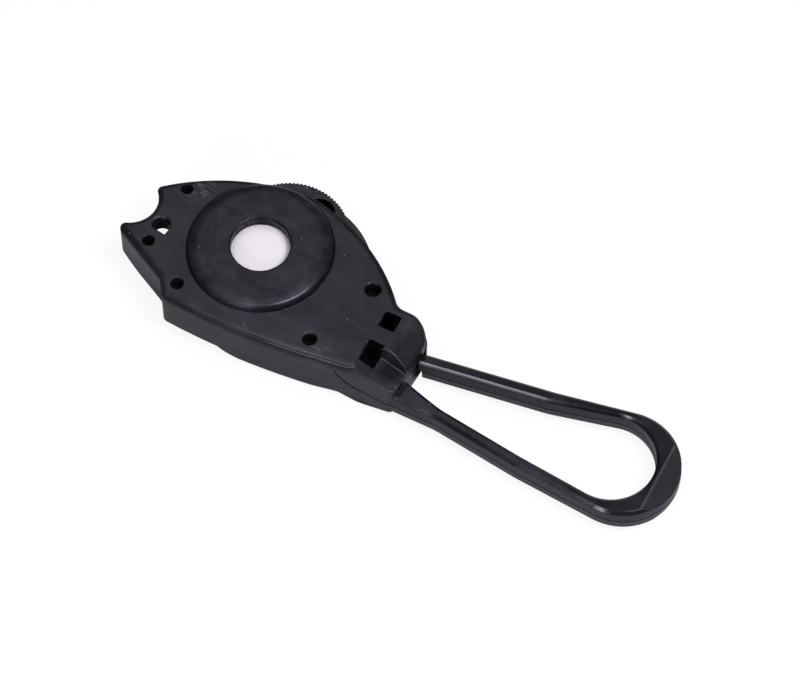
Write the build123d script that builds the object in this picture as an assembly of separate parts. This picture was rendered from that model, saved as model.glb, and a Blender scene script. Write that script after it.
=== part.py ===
from build123d import *
from math import acos, asin, atan2, cos, hypot, radians, sin, tan
import os

# A drop cable clamp: two fish-shaped moulded shells, a knurled eccentric cam between them that presses
# the cable against the near wall, and a bail, one moulding with the lower shell, to hang it by.
# Millimetres. The origin is the cam's pivot axis on the underside of the drum. X runs from the tail
# to the bail, Y to the side where the cam pokes out, Z up.

# Heights and thicknesses; spare is how far cutting shapes reach past what they cut, hair a tolerance
drum_depth = 3.6
body_height = 14.4
rim_drop = 3.5
head_rim_drop = 7.4
floor_thickness = 2.4
plate_thickness = 2.5
wall = 2.2
gap = 0.05
spare = 1.0
hair = 0.001

# Plan of the shells: the points where its edges would meet if no corner were rounded
tail_far_tip = (-34.6, 4.6)
tail_far_mid = (-17.0, 16.0)
far_apex = (3.2, 21.1)
head_far_mid = (24.0, 14.8)
head_shoulder = (41.0, 0.9)
head_far_corner = (52.3, 0.8)
head_near_corner = (50.9, -21.4)
near_head_bend = (42.0, -21.2)
near_wall_end = (33.0, -22.2)
near_wall_mid = (6.0, -24.9)
near_corner = (-17.1, -24.4)
tail_step = (-20.3, -19.6)
tail_near_tip = (-41.7, -8.75)
notch_mid = (-31.5, -0.9)
tip_round = 1.4
step_round = 2.0
shoulder_round = 4.0
head_corner_round = 6.6
base_corner_round = 5.6
rim_round = 1.6

# Head: the top slopes down to the end, and the near side is stepped lower
slope_start = 46.5
slope_drop = 3.9
slope_bend = 6.0
step_ridge = -12.5
step_start = 38.5
step_bend = 43.5
step_bend_drop = 2.9
step_end_drop = 4.9
step_wall_angle = 25.0

# Round boss with the pivot hole; the shoulder and the lip round off that far across and down
boss_radius = 20.0
boss_rise = 2.2
boss_shoulder = (3.4, 2.0)
boss_dish = 0.1
hole_radius = 8.1
hole_lip = (0.5, 0.3)
boss_skin = 3.3

# Peg holes of the upper shell: place and diameter. The two in the tail go on as blind holes
peg_holes = [
    (-26.5, 7.5, 3.3),
    (-28.0, -11.5, 3.4),
    (-14.8, -19.8, 3.6),
    (24.7, -18.8, 4.1),
    (32.8, 2.3, 4.5),
]
sleeve_wall = 1.3
sleeve_length = 5.6
sleeve_clearance = 0.2
peg_height = 1.0

# D-shaped hole through the tail, and the latch windows: middle and size
tie_hole = (-27.4, -5.5)
tie_radius = 2.65
tie_flat = 2.1
tie_tilt = -8.0
far_window = (41.3, -4.4)
far_window_size = (4.7, 5.0)
near_window = (41.2, -14.8)
near_window_size = (4.5, 6.6)
window_round = 0.35

# Tail: cable channel between the shells and hollow underside, which is open at the notch
channel_middle = 2.2
channel_width = 5.0
channel_below = 2.3
channel_above = 2.1
tail_solid_end = -18.0
tail_rise_start = -30.0
tail_rise_bend = 0.25
tail_tip_depth = 8.5
tail_roof_depth = 6.6
mouth_near = -7.0
mouth_far = 3.0

# Drum and the side opening that the cam pokes out of
drum_middle = (5.2, 0.7)
drum_radius = 25.4
drum_round = 1.5
opening_left = -15.5
opening_right = 27.0
opening_inner = 6.0

# Cam
cam_radius = 16.8
cam_eccentricity = 9.75
cam_angle = 69.0
cam_thickness = 5.6
cam_clearance = 0.7
tooth_count = 96
tooth_depth = 0.42
cam_hub_radius = 10.6
lobe_hole_radius = 4.3
lobe_hole_rim = 1.45
cam_float = 0.2
pin_mark_reach = 14.8
pin_mark_angle = 95.8
pin_mark_radius = 1.4
pin_mark_depth = 0.12

# Pivot
journal_radius = 7.0
flange_radius = 10.0
pivot_crown = 0.35
pivot_below_boss = 3.4
socket_depth = 1.2
spigot_radius = 4.0

# Lower shell from the drum to the head, where its underside is lower
low_floor = 1.55
low_floor_end = 27.0
belly_start = (34.5, 2.2)
belly_left = (39.3, 0.35)
belly_low = (41.25, 0.05)
belly_right = (43.2, 0.3)
head_wall = 2.4
slot_clearance = 0.5
catch_thickness = 2.2

# Bail
bail_lift = 2.0
bail_height = 8.0
bail_chamfer = 0.9
bail_draft = 3.0
chamfer_angle = 45.0
bail_middle = -10.4
arm_length = 35.7
loop_reach = 25.1
loop_radius = 15.7
loop_inner_setback = 3.7
loop_inner_radius = 12.2
kink_round = 25.0
far_arm_width = 3.9
near_arm_width = 3.6
far_kink_outer = 0.8
near_kink_outer = -24.3
far_root_outer = -4.5
near_root_outer = -21.2
near_root_length = 10.7
web_top = -13.9
web_bow = 0.4
crest_reach = 10.2
crest_angle = 17.0
barb_setback = 8.1
barb_length = 4.8
barb_reach = 2.6

# Levels worked out from the sizes above
body_floor = drum_depth
plate_top = body_floor + body_height
parting = plate_top - rim_drop
head_parting = plate_top - head_rim_drop
tail_roof = plate_top - tail_roof_depth
body_inside = body_floor + floor_thickness
low_inside = low_floor + floor_thickness
plate_under = plate_top - plate_thickness
boss_top = plate_top + boss_rise
boss_under = boss_top - boss_skin
sleeve_end = plate_top - sleeve_length
cam_top = parting - cam_clearance
cam_bottom = cam_top - cam_thickness
sill = cam_bottom - cam_clearance
cam_middle = (cam_eccentricity * cos(radians(cam_angle)), cam_eccentricity * sin(radians(cam_angle)))
bail_mid = bail_lift + bail_height / 2
head_end = head_far_corner[0]
barb_shoulder = head_end - barb_setback
arm_end = barb_shoulder - barb_length
lobe_hole_reach = cam_eccentricity + cam_radius - lobe_hole_rim - lobe_hole_radius
channel_near = channel_middle - channel_width / 2
channel_far = channel_middle + channel_width / 2
kink = head_end + arm_length
loop_centre = kink + loop_reach
loop_inner_centre = loop_centre - loop_inner_setback
crest = loop_centre + crest_reach
near_root_end = head_end + near_root_length
far_arm_slope = (far_kink_outer - far_root_outer) / arm_length
far = 200.0


def body_outline(far_corner_round):
    """The fish shape of both shells, seen from above, with its corners rounded."""
    edges = [
        ThreePointArc(tail_far_tip, tail_far_mid, far_apex),
        ThreePointArc(far_apex, head_far_mid, head_shoulder),
        Line(head_shoulder, head_far_corner),
        Line(head_far_corner, head_near_corner),
        Line(head_near_corner, near_head_bend),
        Line(near_head_bend, near_wall_end),
        ThreePointArc(near_wall_end, near_wall_mid, near_corner),
        Line(near_corner, tail_step),
        Line(tail_step, tail_near_tip),
        ThreePointArc(tail_near_tip, notch_mid, tail_far_tip),
    ]
    plan = make_face(edges)
    roundings = [
        (tail_far_tip, tip_round),
        (tail_near_tip, tip_round),
        (near_corner, step_round),
        (tail_step, step_round),
        (head_near_corner, step_round),
        (head_shoulder, shoulder_round),
        (head_far_corner, far_corner_round),
        (far_apex, boss_radius),
        (near_wall_end, boss_radius),
        (near_head_bend, boss_radius),
    ]
    for point, radius in roundings:
        corner = plan.vertices().sort_by_distance((point[0], point[1], 0))[0]
        plan = fillet(corner, radius)
    return plan


def slab(plan, bottom, top):
    """A flat plan raised from one level to another."""
    return extrude(Pos(0, 0, bottom) * plan, amount=top - bottom)


def post(place, radius, bottom, top):
    """An upright cylinder at a place of the plan."""
    return Pos(place[0], place[1], bottom) * Cylinder(
        radius, top - bottom, align=(Align.CENTER, Align.CENTER, Align.MIN)
    )


def block(left, right, near, away, bottom, top):
    """A box between two places along each axis."""
    return Pos(left, near, bottom) * Box(
        right - left, away - near, top - bottom, align=(Align.MIN, Align.MIN, Align.MIN)
    )


def upright(x, z):
    """A point in the upright plane through the pivot axis, along the part."""
    return (x, 0, z)


def side_prism(points):
    """A shape drawn in X and Z that runs right across the part in Y."""
    outline = Polyline([upright(x, z) for x, z in points], close=True)
    return extrude(make_face(outline), amount=far, both=True, dir=(0, 1, 0))


def on_line(edge, line):
    """Whether an edge runs along a line of the plan, seen from above, without standing upright."""
    middle = edge.position_at(0.5)
    vertical = abs(edge.tangent_at(0.5).Z) > 1 - hair
    return not vertical and line.distance_to((middle.X, middle.Y, 0)) < hair


def below_parting():
    """Everything under the surface where the two shells meet, which dips at the head."""
    return side_prism([
        (-far, -far),
        (-far, parting),
        (near_wall_end[0], parting),
        (head_near_corner[0], head_parting),
        (far, head_parting),
        (far, -far),
    ])


def head_slope():
    """What is cut off above the head's end, where the top bends smoothly into a slope."""
    angle = atan2(slope_drop, head_end - slope_start)
    bend_half = slope_bend * tan(angle / 2)
    start = upright(slope_start - bend_half, plate_top)
    middle_drop = slope_bend * (1 - cos(angle / 2))
    middle = upright(start[0] + slope_bend * sin(angle / 2), plate_top - middle_drop)
    end = upright(slope_start + bend_half * cos(angle), plate_top - bend_half * sin(angle))
    out = upright(slope_start + far * cos(angle), plate_top - far * sin(angle))
    above_out = upright(out[0], plate_top + far)
    above_start = upright(start[0], plate_top + far)
    edges = [ThreePointArc(start, middle, end), Polyline(end, out, above_out, above_start, start)]
    return extrude(make_face(edges), amount=far, both=True, dir=(0, 1, 0))


def head_step():
    """What is cut off above the lowered near side of the head."""
    end_fall = (step_end_drop - step_bend_drop) / (head_end - step_bend)
    lowered = side_prism([
        (step_start, plate_top),
        (step_bend, plate_top - step_bend_drop),
        (step_bend + far, plate_top - step_bend_drop - far * end_fall),
        (step_bend + far, plate_top + far),
        (step_start, plate_top + far),
    ])
    lean = far * tan(radians(step_wall_angle))
    side = Polyline([
        (0, step_ridge, plate_top),
        (0, step_ridge - lean, plate_top - far),
        (0, -far, plate_top - far),
        (0, -far, plate_top + far),
        (0, step_ridge, plate_top + far),
    ], close=True)
    return lowered & extrude(make_face(side), amount=far, both=True, dir=(1, 0, 0))


def round_off(start, reach, drop):
    """An arc that leaves a level top at a start point and ends that far across and down."""
    radius = (reach ** 2 + drop ** 2) / (2 * drop)
    half_angle = asin(abs(reach) / radius) / 2
    side = 1 if reach > 0 else -1
    middle = (start[0] + side * radius * sin(half_angle), start[1] - radius * (1 - cos(half_angle)))
    end = (start[0] + reach, start[1] - drop)
    return ThreePointArc(upright(*start), upright(*middle), upright(*end))


def boss():
    """The round boss: a shoulder, a slightly dished top and a rounded lip at the pivot hole."""
    shoulder_start = (boss_radius - boss_shoulder[0], boss_top)
    shoulder_end = upright(boss_radius, boss_top - boss_shoulder[1])
    lip_start = (hole_radius + hole_lip[0], boss_top - boss_dish)
    lip_end = upright(hole_radius, boss_top - boss_dish - hole_lip[1])
    edges = [
        Line(upright(hole_radius, boss_under), upright(boss_radius, boss_under)),
        Line(upright(boss_radius, boss_under), shoulder_end),
        round_off(shoulder_start, boss_shoulder[0], boss_shoulder[1]),
        Line(upright(*shoulder_start), upright(*lip_start)),
        round_off(lip_start, -hole_lip[0], hole_lip[1]),
        Line(lip_end, upright(hole_radius, boss_under)),
    ]
    return revolve(make_face(edges), Axis.Z)


def tie_hole_plan():
    """The D-shaped hole of the tail, flat towards the near side, with one square corner."""
    disc = Circle(tie_radius) + Pos(tie_radius / 2, -tie_flat / 2, 0) * Rectangle(tie_radius, tie_flat)
    disc &= Pos(0, tie_radius - tie_flat, 0) * Rectangle(2 * tie_radius, 2 * tie_radius)
    return Pos(tie_hole[0], tie_hole[1], 0) * Rot(0, 0, tie_tilt) * disc


def window_plan(middle, size):
    """A latch window of the head."""
    return Pos(middle[0], middle[1], 0) * RectangleRounded(size[0], size[1], window_round)


def upper_shell():
    """The cover: plate, rim, boss, sleeves for the pegs, windows and holes."""
    plan = body_outline(head_corner_round)
    cover = slab(plan, head_parting, plate_top)
    cover -= head_slope()
    edge_line = plan.wire()
    raised = [edge for edge in cover.edges() if edge.bounding_box().min.Z > head_parting]
    rim = [edge for edge in raised if on_line(edge, edge_line)]
    cover = fillet(rim, rim_round)
    cover -= head_step()
    cover -= below_parting()
    inside = offset(plan, -wall)
    hollow = slab(inside, head_parting - spare, plate_under)
    hollow &= block(tail_solid_end + wall, slope_start - wall, -far, far, 0, plate_top)
    step_far = near_window[1] + near_window_size[1] / 2
    hollow -= block(step_start - wall, far, -far, step_far, plate_under - step_bend_drop, far)
    cover -= hollow
    cover += boss()
    cover -= post((0, 0), boss_radius - wall, head_parting, boss_under)
    cover += post((0, 0), flange_radius + gap + wall, plate_under - spare, boss_under)
    cover -= post((0, 0), flange_radius + gap, head_parting, boss_under)
    cover -= post((0, 0), hole_radius, head_parting, boss_top)
    for x, y, diameter in peg_holes:
        if x > tail_solid_end:
            cover += post((x, y), diameter / 2 + sleeve_wall, sleeve_end, plate_under + spare)
        cover -= post((x, y), diameter / 2, sleeve_end, boss_top)
    cover -= slab(tie_hole_plan(), sleeve_end, boss_top)
    channel_end = tail_solid_end + wall + spare
    cover -= block(-far, channel_end, channel_near, channel_far, sleeve_end, parting + channel_above)
    cover -= slab(window_plan(far_window, far_window_size), head_parting, boss_top)
    cover -= slab(window_plan(near_window, near_window_size), head_parting, boss_top)
    return cover


def far_arm_outer(x):
    """Where the outer side of the far arm is, between its end and the kink."""
    return far_root_outer + far_arm_slope * (x - head_end)


def tangent_point(centre, radius, start, side):
    """Where a straight line from a start point touches a circle, on its far (1) or near (-1) side."""
    away_x = start[0] - centre[0]
    away_y = start[1] - centre[1]
    turn = atan2(away_y, away_x) - side * acos(radius / hypot(away_x, away_y))
    return (centre[0] + radius * cos(turn), centre[1] + radius * sin(turn))


def bail_plan():
    """The bail from above: far arm with its barbed end, loop, near arm and the web at its root."""
    far_end_outer = far_arm_outer(arm_end)
    shoulder_outer = far_arm_outer(barb_shoulder)
    far_kink = (kink, far_kink_outer)
    far_kink_inner = (kink, far_kink_outer - far_arm_width)
    near_kink = (kink, near_kink_outer)
    near_kink_inner = (kink, near_kink_outer + near_arm_width)
    near_root = (near_root_end, near_root_outer)
    near_root_inner = (near_root_end, near_root_outer + near_arm_width)
    outer_circle = (loop_centre, bail_middle)
    inner_circle = (loop_inner_centre, bail_middle)
    loop_far = tangent_point(outer_circle, loop_radius, far_kink, 1)
    loop_near = tangent_point(outer_circle, loop_radius, near_kink, -1)
    inner_far = tangent_point(inner_circle, loop_inner_radius, far_kink_inner, 1)
    inner_near = tangent_point(inner_circle, loop_inner_radius, near_kink_inner, -1)
    web_end = near_root_outer + near_arm_width
    web_middle = ((head_end + near_root_end) / 2, (web_top + web_end) / 2 - web_bow)
    edges = [
        Line((arm_end, far_end_outer - far_arm_width), (arm_end, far_end_outer)),
        Line((arm_end, far_end_outer), (barb_shoulder, shoulder_outer + barb_reach)),
        Line((barb_shoulder, shoulder_outer + barb_reach), (barb_shoulder, shoulder_outer)),
        Line((barb_shoulder, shoulder_outer), far_kink),
        Line(far_kink, loop_far),
        ThreePointArc(loop_far, (loop_centre + loop_radius, bail_middle), loop_near),
        Line(loop_near, near_kink),
        Line(near_kink, near_root),
        Line(near_root, (near_head_bend[0], near_root_outer)),
        Line((near_head_bend[0], near_root_outer), (near_head_bend[0], web_top)),
        Line((near_head_bend[0], web_top), (head_end - head_wall, web_top)),
        ThreePointArc((head_end - head_wall, web_top), web_middle, near_root_inner),
        Line(near_root_inner, near_kink_inner),
        Line(near_kink_inner, inner_near),
        ThreePointArc(inner_near, (loop_inner_centre + loop_inner_radius, bail_middle), inner_far),
        Line(inner_far, far_kink_inner),
        Line(far_kink_inner, (arm_end, far_end_outer - far_arm_width)),
    ]
    plan = make_face(edges)
    for point in (far_kink, far_kink_inner, near_kink, near_kink_inner, near_root, near_root_inner):
        corner = plan.vertices().sort_by_distance((point[0], point[1], 0))[0]
        plan = fillet(corner, kink_round)
    return plan


def crest_cut(side):
    """What is cut off above or below the loop's tip, where the bail thins to a wedge."""
    level = bail_mid + side * bail_height / 2
    fall = far * tan(radians(crest_angle))
    return side_prism([
        (crest, level),
        (crest + far, level - side * fall),
        (crest + far, level + side * far),
        (crest, level + side * far),
    ])


def bail():
    """The bail, a bar taller than wide, drafted to both sides of a parting line, with chamfered edges."""
    middle = Pos(0, 0, bail_mid) * bail_plan()
    side = extrude(Face(middle.wire()), amount=bail_height / 2 - bail_chamfer, taper=bail_draft)
    edge_start = side.faces().sort_by(Axis.Z)[-1]
    edge = extrude(Face(edge_start.outer_wire()), amount=bail_chamfer, taper=chamfer_angle)
    half = side + edge
    bar = half + mirror(half, about=Plane.XY.offset(bail_mid))
    bar -= crest_cut(1)
    bar -= crest_cut(-1)
    tongue_under = body_inside + slot_clearance
    bar -= block(arm_end - spare, head_end + slot_clearance, bail_middle - wall, far, 0, tongue_under)
    return bar


def tail_rise():
    """What is cut off under the tail, whose bottom leaves the level smoothly and rises to the tips."""
    tip_x = tail_near_tip[0] - spare
    tip_level = plate_top - tail_tip_depth
    start = upright(tail_rise_start, body_floor)
    middle_level = body_floor + (tip_level - body_floor) * tail_rise_bend
    middle = upright((tail_rise_start + tip_x) / 2, middle_level)
    tip = upright(tip_x, tip_level)
    below_start = upright(tail_rise_start, -far)
    out = upright(-far, tip_level)
    below_out = upright(-far, -far)
    edges = [ThreePointArc(start, middle, tip), Polyline(tip, out, below_out, below_start, start)]
    return extrude(make_face(edges), amount=far, both=True, dir=(0, 1, 0))


def drum():
    """The round drum under the body, with a rounded lower edge."""
    round_part = post(drum_middle, drum_radius, 0, sill)
    return fillet(round_part.edges().filter_by(GeomType.CIRCLE).sort_by(Axis.Z)[0], drum_round)


def under_body():
    """What is cut off under the body, which steps down at the drum and bellies at the head."""
    step = drum_middle[0]
    end_level = bail_lift + bail_chamfer
    left = [
        upright(-far, -far),
        upright(-far, body_floor),
        upright(step, body_floor),
        upright(step, low_floor),
        upright(low_floor_end, low_floor),
        upright(*belly_start),
        upright(*belly_left),
    ]
    right = [
        upright(*belly_right),
        upright(head_end, end_level),
        upright(far, end_level),
        upright(far, -far),
        upright(-far, -far),
    ]
    edges = [
        Polyline(left),
        ThreePointArc(left[-1], upright(*belly_low), right[0]),
        Polyline(right),
    ]
    return extrude(make_face(edges), amount=far, both=True, dir=(0, 1, 0))


def pegs(base):
    """Adds the posts and pegs that carry the upper shell's sleeves, and cuts the tail's blind holes."""
    for x, y, diameter in peg_holes:
        if x < tail_solid_end:
            base -= post((x, y), diameter / 2, sleeve_end, far)
            continue
        sleeve_radius = diameter / 2 + sleeve_wall
        base += post((x, y), sleeve_radius, low_floor + wall, sleeve_end)
        base -= post((x, y), sleeve_radius + sleeve_clearance, sleeve_end, far)
        base += post((x, y), diameter / 2 - gap, sleeve_end - wall, sleeve_end + peg_height)
    return base


def lower_shell():
    """The base: walls, floor, drum, tail with its cable channel, pegs, head with a slot, and bail."""
    plan = body_outline(base_corner_round)
    inside = offset(plan, -wall)
    base = slab(plan, 0, plate_top)
    base -= under_body()
    base -= tail_rise()
    base -= slab(inside, 0, tail_roof) & block(-far, tail_step[0], -far, far, 0, far)
    base -= block(-far, tie_hole[0], mouth_near, mouth_far, 0, tail_roof)
    base += drum()
    base &= below_parting()
    hollow = slab(inside, body_inside, far)
    base -= hollow & block(tail_solid_end, head_end - head_wall, -far, far, 0, far)
    low_room = slab(inside, low_inside, body_inside)
    base -= low_room & block(drum_middle[0], belly_start[0], -far, far, 0, far)
    base -= post(drum_middle, drum_radius - wall, floor_thickness, sill)
    base -= block(opening_left, opening_right, opening_inner, far, sill, far)
    channel_end = tail_solid_end + spare
    base -= block(-far, channel_end, channel_near, channel_far, parting - channel_below, far)
    base -= slab(tie_hole_plan(), 0, far)
    base = pegs(base)
    socket_floor = floor_thickness - socket_depth - gap
    base -= post((0, 0), spigot_radius + gap, socket_floor, floor_thickness + spare)
    catch_left = barb_shoulder + slot_clearance
    catch_right = catch_left + catch_thickness
    catch_near = far_arm_outer(catch_right) + slot_clearance
    catch_wall = block(catch_left, catch_right, catch_near, head_shoulder[1] - spare, body_floor, far)
    base += catch_wall & below_parting()
    slot_near = far_arm_outer(head_end - head_wall) - far_arm_width - slot_clearance
    slot_far = far_arm_outer(head_end) + slot_clearance
    base -= block(head_end - head_wall - spare, head_end + spare, slot_near, slot_far, body_inside, far)
    return base + bail()


def cam_wheel():
    """The knurled eccentric cam: hub, bore for the pivot, a hole in the lobe and an ejector pin's mark."""
    teeth = []
    for index in range(2 * tooth_count):
        angle = radians(180 / tooth_count * index)
        reach = cam_radius - tooth_depth * (index % 2)
        teeth.append((cam_middle[0] + reach * cos(angle), cam_middle[1] + reach * sin(angle)))
    plan = make_face(Polyline(teeth, close=True)) + Circle(cam_hub_radius)
    cam = slab(plan, cam_bottom, cam_top)
    cam += post((0, 0), cam_hub_radius, floor_thickness + cam_float, cam_bottom)
    cam -= post((0, 0), journal_radius + gap, 0, far)
    lobe = radians(cam_angle)
    cam -= post((lobe_hole_reach * cos(lobe), lobe_hole_reach * sin(lobe)), lobe_hole_radius, 0, far)
    mark = radians(pin_mark_angle)
    mark_place = (cam_middle[0] + pin_mark_reach * cos(mark), cam_middle[1] + pin_mark_reach * sin(mark))
    return cam - post(mark_place, pin_mark_radius, cam_top - pin_mark_depth, far)


def pivot():
    """The white pin that the cam turns on: spigot, journal and a flange with a crowned top."""
    flange_under = cam_top + cam_float
    crown_top = boss_top - pivot_below_boss
    crown_radius = (flange_radius ** 2 + pivot_crown ** 2) / (2 * pivot_crown)
    pin = post((0, 0), spigot_radius, floor_thickness - socket_depth, floor_thickness)
    pin += post((0, 0), journal_radius, floor_thickness, flange_under)
    pin += post((0, 0), flange_radius, flange_under, crown_top)
    return pin & Pos(0, 0, crown_top - crown_radius) * Sphere(crown_radius)


os.makedirs("parts", exist_ok=True)
export_step(upper_shell(), "parts/upper_shell.step")
export_step(lower_shell(), "parts/lower_shell.step")
export_step(cam_wheel(), "parts/cam_wheel.step")
export_step(pivot(), "parts/pivot.step")
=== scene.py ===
import bpy
from math import pi
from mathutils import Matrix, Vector
from types import SimpleNamespace

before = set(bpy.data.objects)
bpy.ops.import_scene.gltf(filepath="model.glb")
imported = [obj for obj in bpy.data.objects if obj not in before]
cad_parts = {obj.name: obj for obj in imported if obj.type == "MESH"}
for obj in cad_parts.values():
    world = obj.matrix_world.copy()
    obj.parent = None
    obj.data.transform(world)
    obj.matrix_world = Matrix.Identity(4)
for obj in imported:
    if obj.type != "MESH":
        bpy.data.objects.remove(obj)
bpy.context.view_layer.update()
scene = bpy.context.scene
scene.view_settings.view_transform = "Standard"

# A millimetre in metres, the factors that lay a vector flat, and plain white
MM = 0.001
LEVEL = (1.0, 1.0, 0.0)
PURE_WHITE = (1.0, 1.0, 1.0, 1.0)

# Colours of the mouldings, linear
BLACK = (0.0062, 0.0060, 0.0080, 1.0)
BLACK_CLOUD = (0.0120, 0.0115, 0.0150, 1.0)
# Painted shade: the boss is coloured darker than the plate, as its top looks darker under the lamps
BOSS_SHADE_BLACK = (0.0042, 0.0041, 0.0060, 1.0)
# Painted shade in the groove of the mould's parting line
LINE_SHADE_BLACK = (0.0030, 0.0030, 0.0040, 1.0)
# The loop's tip past the crest, coloured a lighter grey
TIP_GREY = (0.026, 0.025, 0.031, 1.0)
SHEEN_TINT = (0.86, 0.83, 1.0, 1.0)
# Pale colour of the scuff marks, and of painted highlights on the near rim, the head's corner and edges, and
# the loop's crest
SCUFF_AND_HIGHLIGHT = (0.13, 0.128, 0.138, 1.0)
SPECK = (0.30, 0.30, 0.31, 1.0)
WHITE = (0.885, 0.850, 0.890, 1.0)
# Painted shade greys the white disc towards its edge, under the hole's walls; its clouds mix towards it too
WHITE_SHADE_AND_CLOUD = (0.760, 0.725, 0.775, 1.0)

# Floor: its colour as a card that lights the part, and its colour and glow as the camera sees it
FLOOR_CARD = (0.49, 0.48, 0.53, 1.0)
FLOOR_SEEN = (0.12, 0.12, 0.12, 1.0)
FLOOR_GLOW = 0.89
FLOOR_ROUGHNESS = 0.9

# Floor: its side, and how far it lies below the part, in millimetres
FLOOR_SIZE = 4000.0
FLOOR_DROP = 0.2

# World: its strength as a light, and as the camera sees it
WORLD_LIGHT = 0.12
WORLD_SEEN = 1.0

# Soft lamps: the place they aim at; name, way to the lamp, its distance and radius in metres, and brightness
LAMP_AIM = (0.03, -0.005, 0.015)
SOFTBOXES = [
    ("softbox_over_left", (-0.083, -0.355, 0.931), 1.1, 0.17, 6.0),
    ("softbox_over_right", (0.40, -0.06, 0.90), 1.1, 0.21, 18.0),
    ("softbox_high_left", (-0.178, 0.140, 0.970), 1.1, 0.10, 4.0),
    ("softbox_high_right", (0.030, 0.240, 0.970), 1.1, 0.10, 6.0),
    ("softbox_top_back", (-0.285, 0.425, 0.86), 1.02, 0.16, 1.0),
    ("softbox_right_back", (0.73, 0.44, 0.54), 1.1, 0.20, 0.5),
    ("softbox_front", (-0.01, -0.88, 0.465), 1.0, 0.10, 14.0),
]

# Camera: the way it looks, and in millimetres its place, lens, nearest sight and sensor
CAMERA_PLACE = (283.0, -472.9, 941.8)
CAMERA_AIM = (-0.2222, 0.4361, -0.8721)
CAMERA_LENS = 180.0
CAMERA_NEAR = 10.0
SENSOR = 36.0

# Boss and cover, in millimetres: radii from the pivot axis, heights, the head's start, and widths of blends
# Where the painted shade on the white disc begins
WHITE_SHADE_START = 5.5
HOLE_RADIUS = 8.1
LIP_RADIUS = 8.7
LIP_BLEND = 0.3
BOSS_RADIUS = 20.0
BOSS_BLEND = 0.5
SHELL_PARTING = 14.5
PLATE_TOP = 18.0
PLATE_BLEND = 0.2
HEAD_START = 36.0
HEAD_BLEND = 4.0

# Softened edges of the cover: the shoulder's radii and the sine of its tilt, and the gap from boss to rim
SHOULDER_START = 16.2
SHOULDER_BEND = 17.95
SHOULDER_END = 19.9
BEND_TILT = 0.18
END_TILT = 0.93
RIM_OFF_BOSS = (0.3, 0.8)

# Bail: places along x, across y and up z, in millimetres
BAIL_MID = 6.0
CHAMFER_MID = 9.55
CHAMFER_BLEND = 0.15
HEAD_TO_ARMS = (52.0, 58.0)
NEAR_TO_FAR = (-14.0, -9.0)
ARMS_TO_LOOP = (95.0, 112.0)
CREST = 123.3
CREST_BLEND = 0.5
CREST_EDGE = (0.5, 0.1)

# Mould's parting line: where it starts to climb, how high and how fast, and its soft edge, in millimetres
LINE_START = 33.5
LINE_BLEND = 0.5
LINE_CLIMB = 7.8
LINE_FADE = 3.6
LINE_EDGE = (0.45, 0.15)

# Worn places, places with painted highlights, and a dull place, in millimetres: the middle, the core that has
# it in full, and how far it reaches
SCUFF_AND_HIGHLIGHT_PLACES = [
    ((-24.0, 9.0, 18.0), 7.0),
    ((-36.0, -13.0, 12.0), 5.0),
    # Painted highlight along the near rim's rounding
    ((28.0, -22.0, 16.5), 8.0),
    # Painted highlights at the head's near corner
    ((50.5, -19.0, 12.5), 4.0),
]
# Painted highlights along the edges of the head's step
HEAD_HIGHLIGHT_PLACE = (48.5, -15.5, 14.0)
HEAD_HIGHLIGHT_CORE = 3.15
HEAD_HIGHLIGHT_REACH = 10.5
DULL_PLACE = (47.8, -16.3, 13.6)
DULL_CORE = 1.3
DULL_REACH = 6.5

# Softness of the shaded edges and reach of the creases, in millimetres, and rays for each
BLACK_EDGE_SOFTNESS = 0.4
WHITE_EDGE_SOFTNESS = 0.3
EDGE_SAMPLES = 6
CREASE_REACH = 4.0
CREASE_SAMPLES = 8

# Noises and rings: scale per metre, detail and distortion; specks: scale alone
CLOUD_NOISE = (75.0, 6.0, 0.8)
HAZE_NOISE = (120.0, 7.0, 1.2)
GRAIN_NOISE = (2600.0, 3.0, 0.0)
SMEAR_NOISE = (110.0, 4.0, 2.0)
PATCH_NOISE = (280.0, 5.0, 0.0)
STREAK_NOISE = (230.0, 6.0, 0.6)
HEAD_HIGHLIGHT_NOISE = (260.0, 4.0, 0.0)
WHITE_NOISE = (180.0, 3.0, 0.0)
WHITE_GRAIN_NOISE = (1500.0, 2.0, 0.0)
RING_WAVE = (230.0, 4.0, 1.2)
SPECK_SCALE = 95.0

# Noises drawn out along the part
HAZE_STRETCH = (0.35, 1.4, 1.4)
STREAK_STRETCH = (1.0, 5.0, 5.0)

# Bumps: strength, and depth in millimetres
COVER_GRAIN = (0.14, 0.05)
BASE_GRAIN = (0.04, 0.05)
WHITE_GRAIN = (0.05, 0.04)
RING_BUMP = (0.08, 0.03)
LINE_BUMP = (0.6, -0.15)

# Spans of a noise, a mask or a slope over which something sets in
CLOUD_TO_COLOUR = (0.36, 0.7)
CLOUD_TO_ROUGHNESS = (0.3, 0.75)
CLOUD_TO_SHEEN = (0.32, 0.72)
HAZE_TO_SHEEN = (0.3, 0.75)
SMEAR_SPAN = (0.36, 0.7)
OPEN_SPAN = (0.4, 0.85)
UP_SPAN = (0.8, 0.9)
SLANT_SPAN = (0.3, 0.5)
STEEP_SPAN = (0.998, 0.985)
PATCH_SPAN = (0.5, 0.72)
PATCH_WEAR = (0.03, 0.3)
STREAK_SPAN = (0.48, 0.74)
HEAD_HIGHLIGHT_SPAN = (0.38, 0.62)
HEAD_HIGHLIGHT_EDGE = (0.005, 0.1)
SPECK_EDGE = (0.017, 0.009)
SPECK_CHANCE = (0.62, 0.64)
WHITE_TO_SHADE = (0.4, 0.8)
WHITE_TO_ROUGHNESS = (0.3, 0.7)

# Strength of the scuff marks and painted highlights, and of the white's clouds
STREAK_STRENGTH = 0.75
HEAD_HIGHLIGHT_STRENGTH = (0.3, 1.1)
CREST_HIGHLIGHT_STRENGTH = 0.4
WHITE_CLOUD_STRENGTH = 0.2

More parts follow.
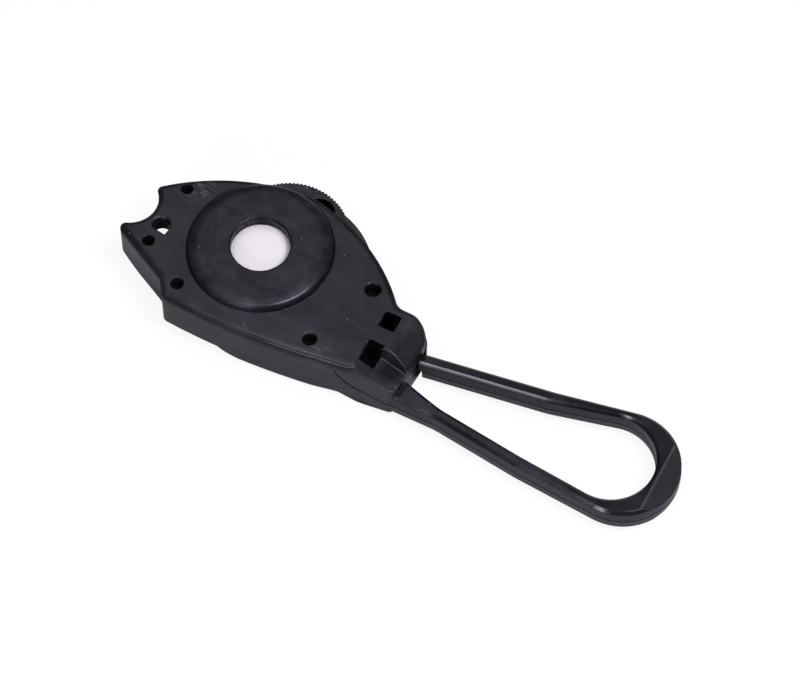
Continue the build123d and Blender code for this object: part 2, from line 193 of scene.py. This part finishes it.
# Gloss: roughness, sheen as specular level, and refraction
COVER_ROUGHNESS = (0.26, 0.38)
BASE_ROUGHNESS = (0.18, 0.28)
WHITE_ROUGHNESS = (0.26, 0.36)
SHOULDER_ROUGHNESS = 0.05
CLOUD_SHEEN = (0.24, 0.36)
HAZE_SHEEN = (0.12, 0.30)
SMEAR_SHEEN_LOSS = 0.07
BLACK_IOR = 1.52
WHITE_IOR = 1.49

# Share of the sheen that is left at the boss hole, the head's step, the parting line and the far arm
HOLE_SHEEN = 0.3
STEP_SHEEN = 0.3
LINE_SHEEN = 0.15
FAR_TOP_SHEEN = 0.5
FAR_CHAMFER_SHEEN = 0.25


def new_material(name):
    """A material with an empty node tree, its shader and its output."""
    material = bpy.data.materials.new(name)
    material.use_nodes = True
    tree = material.node_tree
    tree.nodes.clear()
    output = tree.nodes.new("ShaderNodeOutputMaterial")
    shader = tree.nodes.new("ShaderNodeBsdfPrincipled")
    tree.links.new(shader.outputs["BSDF"], output.inputs["Surface"])
    return material, tree, shader


def join(tree, value, socket):
    """Gives a socket its value: a link from another socket, or a plain constant."""
    if isinstance(value, bpy.types.NodeSocket):
        tree.links.new(value, socket)
    else:
        socket.default_value = value


def noise(tree, recipe, vector):
    """A noise texture over a vector in metres, from its scale, detail and distortion."""
    scale, detail, distortion = recipe
    node = tree.nodes.new("ShaderNodeTexNoise")
    node.inputs["Scale"].default_value = scale
    node.inputs["Detail"].default_value = detail
    node.inputs["Distortion"].default_value = distortion
    tree.links.new(vector, node.inputs["Vector"])
    return node.outputs["Fac"]


def remap(tree, value, low, high, to_low=0.0, to_high=1.0, ease="SMOOTHSTEP"):
    """A value stretched so that low becomes to_low and high becomes to_high, clamped and eased."""
    node = tree.nodes.new("ShaderNodeMapRange")
    node.interpolation_type = ease
    node.inputs["From Min"].default_value = low
    node.inputs["From Max"].default_value = high
    node.inputs["To Min"].default_value = to_low
    node.inputs["To Max"].default_value = to_high
    tree.links.new(value, node.inputs["Value"])
    return node.outputs["Result"]


def ramp(tree, measure, start, end, to_low=0.0, to_high=1.0, ease="SMOOTHSTEP"):
    """A measure in metres, remapped between a start and an end in millimetres."""
    return remap(tree, measure, start * MM, end * MM, to_low, to_high, ease)


def mix_colour(tree, factor, first, second):
    """Two colours mixed by a factor; each is a socket or a plain colour."""
    node = tree.nodes.new("ShaderNodeMix")
    node.data_type = "RGBA"
    tree.links.new(factor, node.inputs["Factor"])
    colours = [socket for socket in node.inputs if socket.type == "RGBA"]
    join(tree, first, colours[0])
    join(tree, second, colours[1])
    return [socket for socket in node.outputs if socket.type == "RGBA"][0]


def math(tree, operation, first, second=0.0):
    """A math node of two values; each is a socket or a number."""
    node = tree.nodes.new("ShaderNodeMath")
    node.operation = operation
    join(tree, first, node.inputs[0])
    join(tree, second, node.inputs[1])
    return node.outputs[0]


def product(tree, first, *others):
    """Values multiplied together."""
    for other in others:
        first = math(tree, "MULTIPLY", first, other)
    return first


def cosine(tree, sine):
    """The cosine of an angle from its sine, or its sine from its cosine."""
    return math(tree, "SQRT", math(tree, "SUBTRACT", 1.0, product(tree, sine, sine)))


def vector_math(tree, operation, first, second=None, output="Vector"):
    """A vector math node of one or two vectors; each is a socket or three numbers."""
    node = tree.nodes.new("ShaderNodeVectorMath")
    node.operation = operation
    join(tree, first, node.inputs[0])
    if second is not None:
        join(tree, second, node.inputs[1])
    return node.outputs[output]


def scaled(tree, vector, factor):
    """A vector times a factor."""
    node = tree.nodes.new("ShaderNodeVectorMath")
    node.operation = "SCALE"
    tree.links.new(vector, node.inputs[0])
    tree.links.new(factor, node.inputs["Scale"])
    return node.outputs["Vector"]


def blend(tree, share, first, second):
    """A vector part of the way from one to another."""
    change = vector_math(tree, "SUBTRACT", second, first)
    return vector_math(tree, "ADD", first, scaled(tree, change, share))


def separate(tree, vector):
    """The three parts of a vector."""
    node = tree.nodes.new("ShaderNodeSeparateXYZ")
    tree.links.new(vector, node.inputs[0])
    return tuple(node.outputs)


def laid_flat(tree, vector):
    """A vector without its upward part."""
    return vector_math(tree, "MULTIPLY", vector, LEVEL)


def object_place(tree):
    """The place on the part, in metres."""
    return tree.nodes.new("ShaderNodeTexCoord").outputs["Object"]


def surface_normal(tree):
    """The surface's own normal."""
    return tree.nodes.new("ShaderNodeNewGeometry").outputs["Normal"]


def radius_from_axis(tree, place):
    """The distance of a place from the pivot axis."""
    return vector_math(tree, "LENGTH", laid_flat(tree, place), output="Value")


def distance_from(tree, place, point):
    """The distance of a place from a point that is given in millimetres."""
    middle = tuple(value * MM for value in point)
    return vector_math(tree, "DISTANCE", place, middle, "Value")


def facing_up(tree):
    """1 on the faces that look up, 0 on the others."""
    return remap(tree, separate(tree, surface_normal(tree))[2], *UP_SPAN)


def edge_wear(tree, softness):
    """How near a place is to a sharp edge, from 0 on a flat, and the normal softened over that edge."""
    bevel = tree.nodes.new("ShaderNodeBevel")
    bevel.samples = EDGE_SAMPLES
    bevel.inputs["Radius"].default_value = softness * MM
    soft_normal = bevel.outputs["Normal"]
    likeness = vector_math(tree, "DOT_PRODUCT", soft_normal, surface_normal(tree), "Value")
    return math(tree, "SUBTRACT", 1.0, likeness), soft_normal


def openness(tree):
    """How open a place is to the light: 0 deep in a hole or crease, 1 on the outside."""
    node = tree.nodes.new("ShaderNodeAmbientOcclusion")
    node.samples = CREASE_SAMPLES
    node.inputs["Distance"].default_value = CREASE_REACH * MM
    return remap(tree, node.outputs["AO"], *OPEN_SPAN)


def bump(tree, height, recipe, normal):
    """A bump from a height value, of a strength and depth, laid over a normal."""
    strength, depth = recipe
    node = tree.nodes.new("ShaderNodeBump")
    node.inputs["Strength"].default_value = strength
    node.inputs["Distance"].default_value = depth * MM
    tree.links.new(height, node.inputs["Height"])
    tree.links.new(normal, node.inputs["Normal"])
    return node.outputs["Normal"]


def tilted(tree, sideways, lean):
    """An upright normal that leans sideways; lean is the sine of its tilt."""
    upward = tree.nodes.new("ShaderNodeCombineXYZ")
    tree.links.new(cosine(tree, lean), upward.inputs["Z"])
    outward = vector_math(tree, "NORMALIZE", laid_flat(tree, sideways))
    return vector_math(tree, "ADD", scaled(tree, outward, lean), upward.outputs["Vector"])


def with_shoulder(tree, place, radius, normal):
    """The cover's normal with the boss's shoulder rounded off, gently and then tightly."""
    height = separate(tree, place)[2]
    gentle = ramp(tree, radius, SHOULDER_START, SHOULDER_BEND, 0.0, BEND_TILT, "LINEAR")
    tight = ramp(tree, radius, SHOULDER_BEND, SHOULDER_END, 0.0, END_TILT - BEND_TILT)
    shoulder = tilted(tree, place, math(tree, "ADD", gentle, tight))
    above_plate = ramp(tree, height, PLATE_TOP, PLATE_TOP + PLATE_BLEND)
    past_lip = ramp(tree, radius, LIP_RADIUS - LIP_BLEND, LIP_RADIUS)
    return blend(tree, product(tree, above_plate, past_lip), normal, shoulder)


def with_rim(tree, place, radius, in_open, normal):
    """The cover's normal with its rim rounded off, from the plate's top down to the parting of the shells."""
    along, _, height = separate(tree, place)
    facing = surface_normal(tree)
    climb = ramp(tree, height, SHELL_PARTING, PLATE_TOP, ease="LINEAR")
    rim = tilted(tree, facing, cosine(tree, climb))
    steep = remap(tree, separate(tree, facing)[2], *STEEP_SPAN)
    off_boss = ramp(tree, radius, *(BOSS_RADIUS + gap for gap in RIM_OFF_BOSS))
    off_head = ramp(tree, along, HEAD_START + HEAD_BLEND, HEAD_START)
    return blend(tree, product(tree, steep, off_boss, off_head, in_open), normal, rim)


def scuff_and_highlight_mask(tree, place, edge_nearness):
    """Pale scuff marks and painted highlights: broken patches along the edges, streaks at a few places, of
    which those on the near rim and the head's corner are painted highlights, and painted highlights along the
    head's edges.
    """
    patches = remap(tree, noise(tree, PATCH_NOISE, place), *PATCH_SPAN)
    mask = product(tree, remap(tree, edge_nearness, *PATCH_WEAR), patches)
    drawn_out = vector_math(tree, "MULTIPLY", place, STREAK_STRETCH)
    streaks = remap(tree, noise(tree, STREAK_NOISE, drawn_out), *STREAK_SPAN, 0.0, STREAK_STRENGTH)
    for middle, reach in SCUFF_AND_HIGHLIGHT_PLACES:
        near = ramp(tree, distance_from(tree, place, middle), reach, 0.0)
        mask = math(tree, "MAXIMUM", mask, product(tree, near, streaks))
    # Painted highlights along the head's edges
    at_head = ramp(tree, distance_from(tree, place, HEAD_HIGHLIGHT_PLACE), HEAD_HIGHLIGHT_REACH, HEAD_HIGHLIGHT_CORE)
    uneven = remap(tree, noise(tree, HEAD_HIGHLIGHT_NOISE, place), *HEAD_HIGHLIGHT_SPAN, *HEAD_HIGHLIGHT_STRENGTH)
    head_highlights_or_shoulder_roughness = product(tree, remap(tree, edge_nearness, *HEAD_HIGHLIGHT_EDGE), at_head, uneven)
    return math(tree, "MAXIMUM", mask, head_highlights_or_shoulder_roughness)


def speck_mask(tree, place):
    """A few tiny pale specks on the faces that look up."""
    cells = tree.nodes.new("ShaderNodeTexVoronoi")
    cells.voronoi_dimensions = "2D"
    cells.inputs["Scale"].default_value = SPECK_SCALE
    tree.links.new(place, cells.inputs["Vector"])
    dots = remap(tree, cells.outputs["Distance"], *SPECK_EDGE)
    chosen = remap(tree, separate(tree, cells.outputs["Color"])[0], *SPECK_CHANCE)
    return product(tree, dots, chosen, facing_up(tree))


def turned_rings(tree, place):
    """Fine rings about the pivot axis, as a height."""
    scale, detail, distortion = RING_WAVE
    rings = tree.nodes.new("ShaderNodeTexWave")
    rings.wave_type = "RINGS"
    rings.rings_direction = "Z"
    rings.inputs["Scale"].default_value = scale
    rings.inputs["Detail"].default_value = detail
    rings.inputs["Distortion"].default_value = distortion
    tree.links.new(place, rings.inputs["Vector"])
    return rings.outputs["Fac"]


def parting_line(tree, along, height):
    """The mould's parting line: half way up the bail, then climbing over the side walls to the rim."""
    run = math(tree, "SUBTRACT", LINE_START * MM, along)
    climb = math(tree, "EXPONENT", math(tree, "DIVIDE", run, LINE_FADE * MM))
    level = math(tree, "ADD", product(tree, climb, LINE_CLIMB * MM), BAIL_MID * MM)
    off = math(tree, "ABSOLUTE", math(tree, "SUBTRACT", height, level))
    steepness = product(tree, climb, LINE_CLIMB / LINE_FADE)
    off = math(tree, "DIVIDE", off, math(tree, "ADD", steepness, 1.0))
    begun = ramp(tree, along, LINE_START - LINE_BLEND, LINE_START + LINE_BLEND)
    return product(tree, ramp(tree, off, *LINE_EDGE), begun)


def dulled(tree, sheen, mask, share):
    """A sheen of which only a share is left where a mask is 1."""
    return product(tree, sheen, remap(tree, mask, 0.0, 1.0, 1.0, share))


def add_cover_details(tree, place, look):
    """The cover's own look: softened edges, a boss darkened by painted shade, with smears and turned rings,
    and a dull step at the head.
    """
    radius = radius_from_axis(tree, place)
    on_boss = ramp(tree, radius, BOSS_RADIUS, BOSS_RADIUS - BOSS_BLEND)
    look.normal = with_shoulder(tree, place, radius, look.normal)
    look.normal = with_rim(tree, place, radius, look.in_open, look.normal)
    look.normal = bump(tree, product(tree, turned_rings(tree, place), on_boss), RING_BUMP, look.normal)
    head_highlights_or_shoulder_roughness = ramp(tree, radius, SHOULDER_START, SHOULDER_BEND, 0.0, SHOULDER_ROUGHNESS)
    look.rough = math(tree, "ADD", look.rough, product(tree, head_highlights_or_shoulder_roughness, on_boss))
    off_hole = ramp(tree, radius, HOLE_RADIUS, LIP_RADIUS, HOLE_SHEEN, 1.0)
    from_step = distance_from(tree, place, DULL_PLACE)
    off_step = ramp(tree, from_step, DULL_CORE, DULL_REACH, STEP_SHEEN, 1.0)
    smears = remap(tree, noise(tree, SMEAR_NOISE, place), *SMEAR_SPAN)
    between_smears = remap(tree, smears, 1.0, 0.0, 0.0, SMEAR_SHEEN_LOSS)
    look.sheen = product(tree, look.sheen, off_hole, off_step)
    look.sheen = math(tree, "SUBTRACT", look.sheen, product(tree, between_smears, on_boss))
    # Painted shade colours the boss darker than the plate; smudgy smears mottle it
    boss_shade_and_smears = mix_colour(tree, smears, BOSS_SHADE_BLACK, BLACK_CLOUD)
    look.colour = mix_colour(tree, on_boss, look.colour, boss_shade_and_smears)


def add_base_details(tree, place, look):
    """The base's own look: the mould's parting line with painted shade in its groove, a dull far arm and
    loop, and the loop's tip coloured a lighter grey with a painted highlight along its crest.
    """
    along, across, height = separate(tree, place)
    line = parting_line(tree, along, height)
    # Painted shade darkens the parting line, over its real groove
    look.colour = mix_colour(tree, line, look.colour, LINE_SHADE_BLACK)
    look.sheen = dulled(tree, look.sheen, line, LINE_SHEEN)
    look.normal = bump(tree, line, LINE_BUMP, look.normal)

    on_top = facing_up(tree)
    far_side = ramp(tree, across, *NEAR_TO_FAR)
    far_or_loop = math(tree, "MAXIMUM", far_side, ramp(tree, along, *ARMS_TO_LOOP))
    dull_top = product(tree, far_or_loop, ramp(tree, along, *HEAD_TO_ARMS), on_top)
    look.sheen = dulled(tree, look.sheen, dull_top, FAR_TOP_SHEEN)

    not_upright = remap(tree, separate(tree, surface_normal(tree))[2], *SLANT_SPAN)
    slanted = product(tree, not_upright, math(tree, "SUBTRACT", 1.0, on_top))
    lower_half = ramp(tree, height, CHAMFER_MID + CHAMFER_BLEND, CHAMFER_MID - CHAMFER_BLEND)
    dull_chamfer = product(tree, slanted, lower_half, far_side)
    look.sheen = dulled(tree, look.sheen, dull_chamfer, FAR_CHAMFER_SHEEN)

    # The loop's tip past the crest is coloured a lighter grey
    tip = product(tree, ramp(tree, along, CREST, CREST + CREST_BLEND), on_top)
    look.colour = mix_colour(tree, tip, look.colour, TIP_GREY)
    # Painted highlight: a pale line along the loop's crest
    off_crest = math(tree, "ABSOLUTE", math(tree, "SUBTRACT", along, CREST * MM))
    crest = product(tree, ramp(tree, off_crest, *CREST_EDGE, 0.0, CREST_HIGHLIGHT_STRENGTH), on_top)
    look.scuffs = math(tree, "MAXIMUM", look.scuffs, crest)


def black_plastic(name, roughness, grain, add_details=None):
    """Moulded black plastic: cloudy sheen, fine grain, pale scuff marks and painted highlights, specks and
    the details of one piece.
    """
    material, tree, shader = new_material(name)
    place = object_place(tree)
    cloud = noise(tree, CLOUD_NOISE, place)
    haze = noise(tree, HAZE_NOISE, vector_math(tree, "MULTIPLY", place, HAZE_STRETCH))
    cloud_sheen = remap(tree, cloud, *CLOUD_TO_SHEEN, *CLOUD_SHEEN)
    haze_sheen = remap(tree, haze, *HAZE_TO_SHEEN, *HAZE_SHEEN)
    edge_nearness, soft_normal = edge_wear(tree, BLACK_EDGE_SOFTNESS)
    look = SimpleNamespace(
        colour=mix_colour(tree, remap(tree, cloud, *CLOUD_TO_COLOUR), BLACK, BLACK_CLOUD),
        rough=remap(tree, cloud, *CLOUD_TO_ROUGHNESS, *roughness),
        sheen=math(tree, "ADD", cloud_sheen, haze_sheen),
        normal=soft_normal,
        scuffs=scuff_and_highlight_mask(tree, place, edge_nearness),
        in_open=openness(tree),
    )
    if add_details:
        add_details(tree, place, look)
    # Pale scuff marks and painted highlights
    colour = mix_colour(tree, look.scuffs, look.colour, SCUFF_AND_HIGHLIGHT)
    colour = mix_colour(tree, speck_mask(tree, place), colour, SPECK)
    normal = bump(tree, noise(tree, GRAIN_NOISE, place), grain, look.normal)
    tree.links.new(colour, shader.inputs["Base Color"])
    tree.links.new(look.rough, shader.inputs["Roughness"])
    tree.links.new(product(tree, look.sheen, look.in_open), shader.inputs["Specular IOR Level"])
    tree.links.new(normal, shader.inputs["Normal"])
    shader.inputs["IOR"].default_value = BLACK_IOR
    shader.inputs["Specular Tint"].default_value = SHEEN_TINT
    return material


def white_plastic():
    """Smooth white plastic, a little greyer towards its edge by painted shade from the hole's walls, and with
    faint grey clouds.
    """
    material, tree, shader = new_material("white_plastic")
    place = object_place(tree)
    cloud = noise(tree, WHITE_NOISE, place)
    # Painted shade towards the disc's edge, under the hole's walls
    edge = ramp(tree, radius_from_axis(tree, place), WHITE_SHADE_START, HOLE_RADIUS)
    clouds = remap(tree, cloud, *WHITE_TO_SHADE, 0.0, WHITE_CLOUD_STRENGTH)
    colour = mix_colour(tree, math(tree, "ADD", edge, clouds), WHITE, WHITE_SHADE_AND_CLOUD)
    soft_normal = edge_wear(tree, WHITE_EDGE_SOFTNESS)[1]
    normal = bump(tree, noise(tree, WHITE_GRAIN_NOISE, place), WHITE_GRAIN, soft_normal)
    tree.links.new(colour, shader.inputs["Base Color"])
    tree.links.new(remap(tree, cloud, *WHITE_TO_ROUGHNESS, *WHITE_ROUGHNESS), shader.inputs["Roughness"])
    tree.links.new(normal, shader.inputs["Normal"])
    shader.inputs["IOR"].default_value = WHITE_IOR
    return material


def dress(node, material):
    """Gives a CAD node one material."""
    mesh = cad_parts[node].data
    mesh.materials.clear()
    mesh.materials.append(material)


def floor_material():
    """Floor that lights the part as a pale grey card, and looks white to the camera, with a faint shadow."""
    material, tree, shader = new_material("floor")
    seen = tree.nodes.new("ShaderNodeLightPath").outputs["Is Camera Ray"]
    tree.links.new(mix_colour(tree, seen, FLOOR_CARD, FLOOR_SEEN), shader.inputs["Base Color"])
    tree.links.new(product(tree, seen, FLOOR_GLOW), shader.inputs["Emission Strength"])
    shader.inputs["Emission Color"].default_value = PURE_WHITE
    shader.inputs["Roughness"].default_value = FLOOR_ROUGHNESS
    shader.inputs["Specular IOR Level"].default_value = 0.0
    return material


def add_floor():
    """The floor, a little below the part."""
    bpy.ops.mesh.primitive_plane_add(size=FLOOR_SIZE * MM, location=(0.0, 0.0, -FLOOR_DROP * MM))
    floor = bpy.context.object
    floor.name = "floor"
    floor.data.materials.append(floor_material())


def add_world():
    """A white world that lights the part faintly."""
    world = bpy.data.worlds.new("studio")
    world.use_nodes = True
    scene.world = world
    tree = world.node_tree
    tree.nodes.clear()
    output = tree.nodes.new("ShaderNodeOutputWorld")
    background = tree.nodes.new("ShaderNodeBackground")
    background.inputs["Color"].default_value = PURE_WHITE
    seen = tree.nodes.new("ShaderNodeLightPath").outputs["Is Camera Ray"]
    strength = remap(tree, seen, 0.0, 1.0, WORLD_LIGHT, WORLD_SEEN)
    tree.links.new(strength, background.inputs["Strength"])
    tree.links.new(background.outputs["Background"], output.inputs["Surface"])


def add_softboxes():
    """Round soft lamps, each turned to the part."""
    for name, way, distance, radius, brightness in SOFTBOXES:
        data = bpy.data.lights.new(name, "AREA")
        data.shape = "DISK"
        data.size = 2.0 * radius
        data.energy = brightness * (pi * radius) ** 2
        lamp = bpy.data.objects.new(name, data)
        out = Vector(way).normalized()
        lamp.location = Vector(LAMP_AIM) + out * distance
        lamp.rotation_euler = (-out).to_track_quat("-Z", "Y").to_euler()
        scene.collection.objects.link(lamp)


def add_camera():
    """The camera at the photograph's viewing angle."""
    data = bpy.data.cameras.new("camera")
    data.lens = CAMERA_LENS
    data.sensor_width = SENSOR
    data.sensor_fit = "HORIZONTAL"
    data.clip_start = CAMERA_NEAR * MM
    camera = bpy.data.objects.new("camera", data)
    camera.location = Vector(CAMERA_PLACE) * MM
    camera.rotation_euler = Vector(CAMERA_AIM).to_track_quat("-Z", "Y").to_euler()
    scene.collection.objects.link(camera)
    scene.camera = camera


dress("upper_shell", black_plastic("black_plastic_cover", COVER_ROUGHNESS, COVER_GRAIN, add_cover_details))
dress("lower_shell", black_plastic("black_plastic_base", BASE_ROUGHNESS, BASE_GRAIN, add_base_details))
dress("cam_wheel", black_plastic("black_plastic_cam", COVER_ROUGHNESS, COVER_GRAIN))
dress("pivot", white_plastic())
add_floor()
add_world()
add_softboxes()
add_camera()
